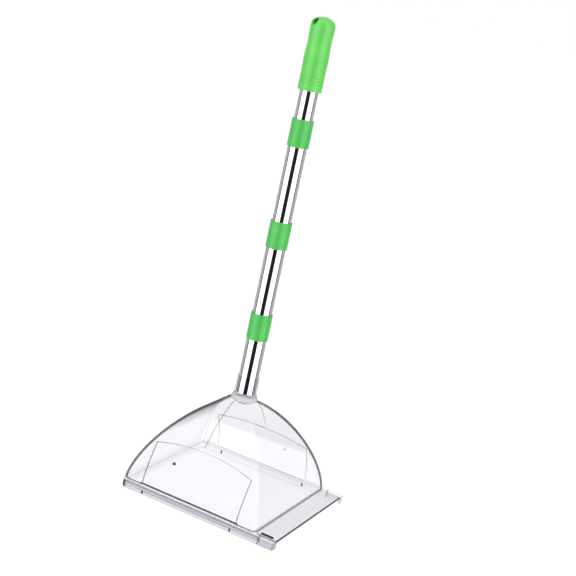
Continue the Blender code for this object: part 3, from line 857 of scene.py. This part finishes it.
def ramp(tree, source, stops):
    """Colour ramp; each stop is a place and a colour."""
    n = add(tree, "ShaderNodeValToRGB", {"Fac": source})
    line = n.color_ramp
    while len(line.elements) > 1:
        line.elements.remove(line.elements[-1])
    for k, (place, colour) in enumerate(stops):
        stop = line.elements[0] if k == 0 else line.elements.new(place)
        stop.position = place
        stop.color = colour
    return n.outputs["Color"]


print("middle grey is", round(srgb("808080")[0], 3), "in linear light")

# %% [markdown]
# ### Clear polystyrene
# Injection-moulded polystyrene is as clear as glass and faintly violet.  A
# refracting glass shader would be the first choice, but it turns the fine
# grooves of so small a base black.  So each side of a wall is drawn as a
# clear film: light passes straight on and a share of it is lost.
#
# The share that passes falls with the slant of the surface.  That fall is
# painted shade, in place of the longer way through a turned wall and of the
# dark outlines that refraction gives clear plastic.  Each row below gives it
# from square on, at 0, to edge on, at 1.  The dome's faces, flat plates and
# rails differ in thickness, and rounded corners, which turn the light aside,
# get a painted shade that turns nearly black much sooner.

# %% How much light a wall lets through
# painted shade: a share below 1 darkens the wall at that slant, corners soonest
FACE_STOPS = [(0.0, 0.995), (0.13, 0.985), (0.225, 0.955), (0.42, 0.95), (0.6, 0.965),
              (0.8, 0.975), (0.92, 0.6), (1.0, 0.2)]
PLATE_STOPS = [(0.0, 1.0), (0.6, 0.99), (0.8, 0.968), (0.92, 0.8), (1.0, 0.4)]
RAIL_STOPS = [(0.0, 1.0), (0.2, 0.998), (0.6, 0.985), (0.8, 0.988), (0.92, 0.7), (1.0, 0.3)]
FACE_CORNERS = [(0.0, 1.0), (0.24, 0.99), (0.36, 0.96), (0.48, 0.93), (0.58, 0.85),
                (0.66, 0.15), (0.75, 0.02)]
RAIL_CORNERS = [(0.0, 0.98), (0.2, 0.9), (0.35, 0.5), (0.5, 0.1), (0.65, 0.02)]
SLEEVE_CORNERS = [(0.0, 0.99), (0.5, 0.98), (0.75, 0.93), (0.9, 0.7), (1.0, 0.4)]
RING_CORNERS = [(0.0, 0.97), (0.5, 0.92), (0.75, 0.75), (0.9, 0.45), (1.0, 0.3)]


def tinted(stops, colour):
    """Ramp stops in which a grey share takes part of a colour."""
    tint = srgb(colour)
    return [(place, tuple(share * c for c in tint[:3]) + (1,)) for place, share in stops]


print("share lost in a face, square on:", round(1 - FACE_STOPS[0][1], 3))

# %% [markdown]
# Three masks steer the painted shade of the film.  A ray meets the outside
# of a wall with a normal that points away from the pole, and the inside with
# one that points toward it.  Only on the outside, where light enters, are
# corners and edges painted dark, so that what lies behind stays clear.
# Rounded corners are found by a normal that lies between two faces, and the
# last mask tells how upright the surface is, for the grey painted shade on
# upright sides.  Painting the masks by hand would do as well, but these
# follow the shape when a size changes.

# %% Masks
CORNER_LOW, CORNER_FULL = 0.03, 0.12


def masks(tree, where):
    """Where light enters, and there its corners and uprightness, for painted shade."""
    normal = add(tree, "ShaderNodeTexCoord").outputs["Normal"]
    level = add(tree, "ShaderNodeVectorMath", {0: normal}, {1: (1, 1, 0)}, operation="MULTIPLY")
    upright = add(tree, "ShaderNodeVectorMath", {0: level.outputs["Vector"]}, operation="LENGTH")
    parts = add(tree, "ShaderNodeSeparateXYZ", {"Vector": level.outputs["Vector"]})
    product = add(tree, "ShaderNodeMath", {0: parts.outputs["X"], 1: parts.outputs["Y"]},
                  operation="MULTIPLY")
    size = add(tree, "ShaderNodeMath", {0: product.outputs["Value"]}, operation="ABSOLUTE")
    corner = add(tree, "ShaderNodeMapRange", {"Value": size.outputs["Value"]},
                 {"From Min": CORNER_LOW, "From Max": CORNER_FULL})
    from_pole = add(tree, "ShaderNodeVectorMath", {0: where}, {1: (pole_x, 0, 0)},
                    operation="SUBTRACT")
    outward = add(tree, "ShaderNodeVectorMath",
                  {0: from_pole.outputs["Vector"], 1: level.outputs["Vector"]},
                  operation="DOT_PRODUCT")
    entering = add(tree, "ShaderNodeMath", {0: outward.outputs["Value"]}, {1: 0.0},
                   operation="GREATER_THAN").outputs["Value"]
    corner_shade = add(tree, "ShaderNodeMath", {0: corner.outputs["Result"], 1: entering},
                operation="MULTIPLY")
    upright_shade = add(tree, "ShaderNodeMath", {0: upright.outputs["Value"], 1: entering},
                  operation="MULTIPLY")
    return entering, corner_shade.outputs["Value"], upright_shade.outputs["Value"]


# %% [markdown]
# A moulded edge gets a fine painted dark line, a painted shade in place of
# the light that the edge refracts away.  A Bevel node turns the normal near
# an edge, and where the turned normal leaves the straight one, less light
# passes.  Where light leaves the object the painted line is only faint.

# %% Edge lines
FAINT = 0.85
EDGE_BENT, EDGE_STRAIGHT = 0.90, 0.995


def painted_edge_lines(tree, entering, share_left, reach):
    """Share of light that passes: less within this reach of an edge, a painted line."""
    bent = add(tree, "ShaderNodeBevel", values={"Radius": reach}, samples=6)
    straight = add(tree, "ShaderNodeNewGeometry").outputs["Normal"]
    same = add(tree, "ShaderNodeVectorMath", {0: bent.outputs["Normal"], 1: straight},
               operation="DOT_PRODUCT")
    depth = add(tree, "ShaderNodeMapRange", {"Value": entering},
                {"To Min": FAINT, "To Max": share_left})
    line = add(tree, "ShaderNodeMapRange",
               {"Value": same.outputs["Value"], "To Min": depth.outputs["Result"]},
               {"From Min": EDGE_BENT, "From Max": EDGE_STRAIGHT, "To Max": 1.0})
    return line.outputs["Result"]


# %% [markdown]
# The mould leaves a wavy gloss: waves about two centimetres long from the
# flow of the plastic, and a fine ripple of a millimetre that varies the
# roughness.  Real polystyrene mirrors a few percent, but under this much soft
# light that would wash the clear walls out, so the mirror is kept weaker.

# %% Gloss
POLYSTYRENE_IOR = 1.59
FULL_MIRROR = 0.2
WAVE_DEPTH = 0.00002


def moulded_gloss(tree, where, strength):
    """How much of the wavy mirror shows at each slant, and the mirror."""
    flow = add(tree, "ShaderNodeTexNoise", {"Vector": where}, {"Scale": 55.0, "Detail": 1.0})
    fine = add(tree, "ShaderNodeTexNoise", {"Vector": where}, {"Scale": 900.0, "Detail": 3.0})
    rough = add(tree, "ShaderNodeMapRange", {"Value": fine.outputs["Fac"]},
                {"From Min": 0.3, "From Max": 0.7, "To Min": 0.02, "To Max": 0.06})
    bump = add(tree, "ShaderNodeBump", {"Height": flow.outputs["Fac"]},
               {"Strength": 1.0, "Distance": WAVE_DEPTH})
    sheen = add(tree, "ShaderNodeBsdfGlossy", {"Roughness": rough.outputs["Result"],
                                               "Normal": bump.outputs["Normal"]})
    mirror = add(tree, "ShaderNodeFresnel", values={"IOR": POLYSTYRENE_IOR})
    share = add(tree, "ShaderNodeMapRange", {"Value": mirror.outputs["Fac"]},
                {"From Min": 0.0, "From Max": FULL_MIRROR, "To Min": 0.0, "To Max": strength})
    return share.outputs["Result"], sheen.outputs["BSDF"]


# %% [markdown]
# The film puts these together.  A wall of the dome has two skins.  The outer
# one halves the light and the inner one doubles it, so a line of sight that
# crosses both comes out as it went in.  One that stays inside the wall, as
# along the outline of the dome, misses the inner skin and comes out dark:
# painted shade along the outline, in place of the dark outline that real
# clear plastic shows because light runs along inside its walls.  A thick
# body, such as the neck's foot ring, is partly milky.

# %% The clear film
OUTLINE_SHADE_SHARE = 0.5
CUT_SHARE = 0.58
BACK_CUT_SHARE = 0.88


def clear_polystyrene(name, colour, edge=0.3, reach=0.0005, stops=FACE_STOPS, corners=FACE_CORNERS,
                      side="FFFFFF", gloss=0.02, skin=1.0, milk=0.0):
    mat, tree, shader, where = new_finish(f"moulded_clear_polystyrene{name}")
    tree.nodes.remove(shader)
    entering, corner_shade, upright_shade = masks(tree, where)
    facing = add(tree, "ShaderNodeLayerWeight", values={"Blend": 0.5}).outputs["Facing"]
    # painted shade: the wall darkens with its slant, and sooner on rounded corners
    tint = add(tree, "ShaderNodeMix", {0: corner_shade, 6: ramp(tree, facing, tinted(stops, colour)),
                                       7: ramp(tree, facing, tinted(corners, colour))},
               data_type="RGBA")
    # painted shade: upright sides where light enters take the grey side colour
    sides = add(tree, "ShaderNodeMix", {0: upright_shade}, {6: srgb("FFFFFF"), 7: srgb(side)},
                data_type="RGBA")
    tint_and_shade = add(tree, "ShaderNodeVectorMath", {0: tint.outputs[2], 1: sides.outputs[2]},
                     operation="MULTIPLY")
    # painted shade: dark lines at edges, and the skin share that darkens outlines
    shade = add(tree, "ShaderNodeMath", {0: painted_edge_lines(tree, entering, edge, reach)}, {1: skin},
                operation="MULTIPLY")
    final = add(tree, "ShaderNodeVectorMath",
                {0: tint_and_shade.outputs["Vector"], "Scale": shade.outputs["Value"]}, operation="SCALE")
    clear = add(tree, "ShaderNodeBsdfTransparent", {"Color": final.outputs["Vector"]})
    milky = add(tree, "ShaderNodeBsdfDiffuse", {"Color": final.outputs["Vector"]})
    body = add(tree, "ShaderNodeMixShader", {1: clear.outputs["BSDF"], 2: milky.outputs["BSDF"]},
               {0: milk})
    share, sheen = moulded_gloss(tree, where, gloss)
    whole = add(tree, "ShaderNodeMixShader", {0: share, 1: body.outputs["Shader"], 2: sheen})
    tree.links.new(whole.outputs["Shader"], tree.nodes["Material Output"].inputs["Surface"])
    return mat


# %% [markdown]
# The dome and its panels wear three of these films, one for each slot.  The
# photograph shows the outline of the back panel fainter than that of the
# front one, so the cut faces in the back have a film of their own, with a
# weaker painted shade.  Rails, clips and strip are thicker, and their upright
# sides get a grey painted shade.  The dark grey film is painted shade for
# edges of clear plastic.

# %% Films for the clear pieces
dome_outer = clear_polystyrene("", "FEFEFF", skin=OUTLINE_SHADE_SHARE)
dome_inner = clear_polystyrene("_inside", "FEFEFF", edge=0.5, gloss=0, skin=1 / OUTLINE_SHADE_SHARE)
# painted shade: cut faces pass less light, the back ones more than the front
dome_cut = clear_polystyrene("_cut", "FEFEFF", edge=0.5, skin=CUT_SHARE)
back_cut = clear_polystyrene("_back_cut", "FEFEFF", edge=0.8, skin=BACK_CUT_SHARE)
plate_clear = clear_polystyrene("_plate", "FEFEFF", edge=0.7, reach=0.0003, stops=PLATE_STOPS)
# painted shade: the side colours grey the upright sides of rails, clips, strip
frame_clear = clear_polystyrene("_frame", "FDFDFE", edge=0.12, stops=RAIL_STOPS,
                                corners=RAIL_CORNERS, side="E0E0E4")
clip_clear = clear_polystyrene("_clip", "FAFAFC", edge=0.12, reach=0.0009, stops=RAIL_STOPS,
                               corners=RAIL_CORNERS, side="E6E6EA")
strip_clear = clear_polystyrene("_strip", "F2F2F4", stops=PLATE_STOPS, corners=RAIL_CORNERS,
                                side="DCDCE2")
neck_clear = clear_polystyrene("_neck", "FAFAFC", corners=SLEEVE_CORNERS)
ring_clear = clear_polystyrene("_ring", "C6C6CA", edge=0.2, reach=0.0007, corners=RING_CORNERS,
                               milk=0.85)
# painted shade: a dark grey film for seam sides, strip edge and rail ticks
dark_edge_shade = clear_polystyrene("_dark_edge_painted_shade", "55545E", edge=0.6, reach=0.0004)
print("clear films:", len(bpy.data.materials))

# %% [markdown]
# ### Polished steel tube
# The tubes are drawn steel with a bright finish, a mirror with faint lines
# along its length where the die drew it.  A noise squeezed across the tube
# and stretched along it stands for those lines.  They are finer than a pixel
# on the real tube, so they are drawn as coarse as half a millimetre.  The
# hinge wire is drawn too, but not polished.

# %% Polished steel tube
LINES_PER_M = (2000.0, 2000.0, 12.0)


def drawn_steel(name, colour, smooth, dull):
    mat, tree, shader, where = new_finish(name)
    lines = add(tree, "ShaderNodeMapping", {"Vector": where}, {"Scale": LINES_PER_M})
    noise = add(tree, "ShaderNodeTexNoise", {"Vector": lines.outputs["Vector"]},
                {"Scale": 1.0, "Detail": 2.0})
    rough = add(tree, "ShaderNodeMapRange", {"Value": noise.outputs["Fac"]},
                {"From Min": 0.3, "From Max": 0.7, "To Min": smooth, "To Max": dull})
    tree.links.new(rough.outputs["Result"], shader.inputs["Roughness"])
    shader.inputs["Base Color"].default_value = srgb(colour)
    shader.inputs["Metallic"].default_value = 1.0
    return mat


steel = drawn_steel("polished_steel_tube", "D6D7DA", 0.05, 0.11)
wire = drawn_steel("drawn_steel_wire", "C2C4C8", 0.25, 0.4)
print("metals:", steel.name, wire.name)

# %% [markdown]
# ### Moulded plastics
# The green parts are polypropylene with a satin surface from a fine spark
# texture in the mould.  The black knob is ABS.  The bar is quite matt black:
# painted shade, in place of a dark reflection in the near clip.
# All get a fine bump, a roughness that varies a little and a slow drift of
# the colour.  The grains of the texture are under half a millimetre.

# %% Moulded satin plastics
SPARKS_PER_M = 2500.0
SPARK_DEPTH = 0.00001


def moulded_satin(name, colour, second, smooth, dull):
    mat, tree, shader, where = new_finish(name)
    drift = add(tree, "ShaderNodeTexNoise", {"Vector": where}, {"Scale": 60.0, "Detail": 2.0})
    tint = ramp(tree, drift.outputs["Fac"], [(0.35, srgb(colour)), (0.65, srgb(second))])
    tree.links.new(tint, shader.inputs["Base Color"])
    spark = add(tree, "ShaderNodeTexNoise", {"Vector": where}, {"Scale": SPARKS_PER_M, "Detail": 3.0})
    rough = add(tree, "ShaderNodeMapRange", {"Value": spark.outputs["Fac"]},
                {"From Min": 0.3, "From Max": 0.7, "To Min": smooth, "To Max": dull})
    tree.links.new(rough.outputs["Result"], shader.inputs["Roughness"])
    bump = add(tree, "ShaderNodeBump", {"Height": spark.outputs["Fac"]},
               {"Strength": 0.6, "Distance": SPARK_DEPTH})
    tree.links.new(bump.outputs["Normal"], shader.inputs["Normal"])
    return mat


green = moulded_satin("moulded_green_polypropylene", "58BB4D", "5CC050", 0.28, 0.36)
collar_green = moulded_satin("moulded_green_polypropylene_collar", "3FA946", "44AE4A", 0.30, 0.38)
black = moulded_satin("moulded_black_abs", "131317", "19191D", 0.28, 0.4)
# painted shade: matt black for the bar that stands for a dark reflection
painted_shade_black = moulded_satin("dark_bar_painted_shade", "060608", "09090B", 0.75, 0.85)
print("plastics:", green.name, collar_green.name, black.name, painted_shade_black.name)

# %% [markdown]
# ## Dressing the pieces
# Each piece takes one finish all over.  The dome and the panels keep their
# three slots instead, and the back opening gets its fainter cut faces.  The
# knob of the back panel is clear, because no dark spot shows there in the
# photograph.  Clear walls cast no shadow and don't dim the floor: the films
# already tint what is seen through them.

# %% One finish for each piece
def wear(finish, *names):
    for name in names:
        slots = bpy.data.objects[name].data.materials
        slots.clear()
        slots.append(finish)


wear(plate_clear, "door", "back_knob")
wear(neck_clear, "neck")
wear(frame_clear, "frame")
wear(clip_clear, "clip_near", "clip_far")
wear(strip_clear, "pull_strip")
wear(steel, "steel_tube_a", "steel_tube_b", "steel_tube_c", "steel_tube_d")
wear(collar_green, "collar_on_tube_a", "collar_on_tube_b", "collar_on_tube_c")
wear(green, "hand_grip")
wear(black, "front_knob")
wear(painted_shade_black, "catch_bar")
for name, cut in (("dome", dome_cut), ("front_panel", dome_cut), ("back_panel", back_cut)):
    slots = bpy.data.objects[name].data.materials
    slots[OUTER], slots[INNER], slots[CUT] = dome_outer, dome_inner, cut
for name in ("dome", "front_panel", "back_panel", "back_knob", "door", "neck", "frame",
             "pull_strip", "clip_near", "clip_far"):
    piece = bpy.data.objects[name]
    piece.visible_shadow = False
    piece.visible_diffuse = False
for name in ("front_hinge_pin", "back_hinge_pin"):
    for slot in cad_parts[name].material_slots:
        slot.material = wire

# %% [markdown]
# Some faces of a piece look different from the rest.  The dome's rim gets
# the painted shade of a cut face, and the sides of its front seam, the outer
# edge of the strip and the ticks in the rails get a dark painted shade.  The
# ring at the neck's foot is the milky one.  Such faces are picked by their
# place and get a slot more.

# %% Second finishes
def wear_part(finish, name, test):
    """Give one piece a second finish on the faces whose middle passes."""
    piece = bpy.data.objects[name]
    piece.data.materials.append(finish)
    edit(piece)
    pick(test, "FACE")
    piece.active_material_index = len(piece.data.materials) - 1
    bpy.ops.object.material_slot_assign()
    leave()


def on_seam_side(p):
    off = abs(p.x - pole_x - SEAM_X)
    return p.y < 0 and p.z > foot_z + SEAM_LOW and SEAM_W * 0.3 < off < SEAM_W * 0.7


def in_tick(p):
    off = abs(abs(p.x - pole_x) - RECESS_HALF)
    return p.z < TICK_H + EDGE_ROUND and abs(p.y) > rail_y - TICK_DEPTH - GAP and off < TICK_W


dome.data.materials.append(back_cut)
for face in dome.data.polygons:
    if face.material_index == CUT and face.center.y > 0:
        face.material_index = len(dome.data.materials) - 1
# painted shade: darker films on the rim, seam sides, strip edge and ticks
wear_part(dome_cut, "dome", lambda p: p.z < foot_z + GAP / 10)
wear_part(dark_edge_shade, "dome", on_seam_side)
wear_part(dark_edge_shade, "pull_strip", lambda p: p.x > strip_high[0] - STRIP_EDGE)
wear_part(plate_clear, "pull_strip", lambda p: p.x < strip_low[0] + GAP)
wear_part(dark_edge_shade, "frame", in_tick)
wear_part(ring_clear, "neck", lambda p: p.z < neck_z + RING_H)
print("the dome has", len(dome.data.materials), "slots")

# %% [markdown]
# ## Camera
# The camera stands to the right of the front, a little above, and is rolled
# so that the pole leans in the picture, as in the photograph.

# %% Camera
TURN = math.radians(24.23)
DOWN = math.radians(14.36)
ROLL = math.radians(12.22)
DISTANCE = 1.3789
ASIDE = 0.02259
AIM_Z = 0.24710
LENS_MM = 76.39
SENSOR_MM = 36

ahead = Vector((-math.sin(TURN), math.cos(TURN), 0))
right_way = Vector((math.cos(TURN), math.sin(TURN), 0))
look = ahead * math.cos(DOWN) - Vector((0, 0, 1)) * math.sin(DOWN)
upward = ahead * math.sin(DOWN) + Vector((0, 0, 1)) * math.cos(DOWN)
eye = Vector((pole_x, 0, foot_z + AIM_Z)) + right_way * ASIDE - look * DISTANCE
across = right_way * math.cos(ROLL) + upward * math.sin(ROLL)
up = upward * math.cos(ROLL) - right_way * math.sin(ROLL)
pose = Matrix((across, up, -look)).transposed().to_4x4()
pose.translation = eye
lens = bpy.data.cameras.new("camera")
lens.lens = LENS_MM
lens.sensor_width = SENSOR_MM
camera = bpy.data.objects.new("camera", lens)
bpy.context.collection.objects.link(camera)
camera.matrix_world = pose
bpy.context.scene.camera = camera
print("camera at", [round(v, 3) for v in eye])

# %% [markdown]
# ## Floor and light
# The floor is a plain sheet of white paper, with fibres a few millimetres
# long.  The tubes don't mirror it, so their bands come from the lights alone.

# %% Floor
FLOOR_SIZE = 60

bpy.ops.object.select_all(action="DESELECT")
bpy.ops.mesh.primitive_plane_add(size=FLOOR_SIZE, location=(0, 0, 0))
floor = named("floor")
paper, tree, shader, where = new_finish("white_paper_floor")
fibre = add(tree, "ShaderNodeTexNoise", {"Vector": where}, {"Scale": 400.0, "Detail": 2.0})
tint = ramp(tree, fibre.outputs["Fac"], [(0.3, srgb("EEEEEE")), (0.7, srgb("F0F0F0"))])
tree.links.new(tint, shader.inputs["Base Color"])
shader.inputs["Roughness"].default_value = 1.0
shader.inputs["Specular IOR Level"].default_value = 0.0
wear(paper, "floor")
floor.visible_glossy = False
print("floor", FLOOR_SIZE, "m wide")

# %% [markdown]
# The light comes from all round, drawn on the world: two broad soft boxes
# left and right of the camera, a dark gap between them where the camera
# stands, and dim walls behind.  The bright tubes mirror that row and so get
# their black middle and white bands.  Area lamps would be the usual way, but
# their ends would show in the long tubes.  What the camera sees past the
# floor is plain white.

# %% World
BOX_LIGHT = 3.0
ROOF_GREY = 0.40
ROW = ((0, 0.006), (21, 0.012), (28, 1.0), (78, 1.0), (83, 0.07), (94, 0.07), (100, 0.2),
       (180, 0.2))


def grey(value):
    return (value, value, value, 1)


world = bpy.data.worlds.new("soft_studio")
bpy.context.scene.world = world
world.use_nodes = True
tree = world.node_tree
tree.nodes.clear()
way = add(tree, "ShaderNodeTexCoord").outputs["Generated"]
flat = add(tree, "ShaderNodeVectorMath", {0: way}, {1: (1, 1, 0)}, operation="MULTIPLY")
unit = add(tree, "ShaderNodeVectorMath", {0: flat.outputs["Vector"]}, operation="NORMALIZE")
front = add(tree, "ShaderNodeVectorMath", {0: unit.outputs["Vector"]}, {1: -ahead},
            operation="DOT_PRODUCT")
angle = add(tree, "ShaderNodeMath", {0: front.outputs["Value"]}, operation="ARCCOSINE")
share = add(tree, "ShaderNodeMath", {0: angle.outputs["Value"]}, {1: math.pi}, operation="DIVIDE")
row = ramp(tree, share.outputs["Value"], [(turn / 180, grey(value)) for turn, value in ROW])
height = add(tree, "ShaderNodeSeparateXYZ", {"Vector": way}).outputs["Z"]
roof = add(tree, "ShaderNodeMapRange", {"Value": height},
           {"From Min": 0.75, "From Max": 0.9, "To Min": 0.0, "To Max": 1.0})
walls = add(tree, "ShaderNodeMix", {0: roof.outputs["Result"], 6: row}, {7: grey(ROOF_GREY)},
            data_type="RGBA")
lit = add(tree, "ShaderNodeBackground", {"Color": walls.outputs[2]}, {"Strength": BOX_LIGHT})
plain = add(tree, "ShaderNodeBackground", values={"Color": grey(1.0), "Strength": 1.0})
seen = add(tree, "ShaderNodeLightPath").outputs["Is Camera Ray"]
both = add(tree, "ShaderNodeMixShader", {0: seen, 1: lit.outputs[0], 2: plain.outputs[0]})
add(tree, "ShaderNodeOutputWorld", {"Surface": both.outputs[0]})
print("soft boxes of strength", BOX_LIGHT)

# %% [markdown]
# The Standard view shows white as white.  A line of sight through the dome,
# the door and the frame crosses many films, so that many are allowed.

# %% View
MOST_FILMS = 48

bpy.context.scene.view_settings.view_transform = "Standard"
bpy.context.scene.cycles.transparent_max_bounces = MOST_FILMS
print("films in a row:", MOST_FILMS)
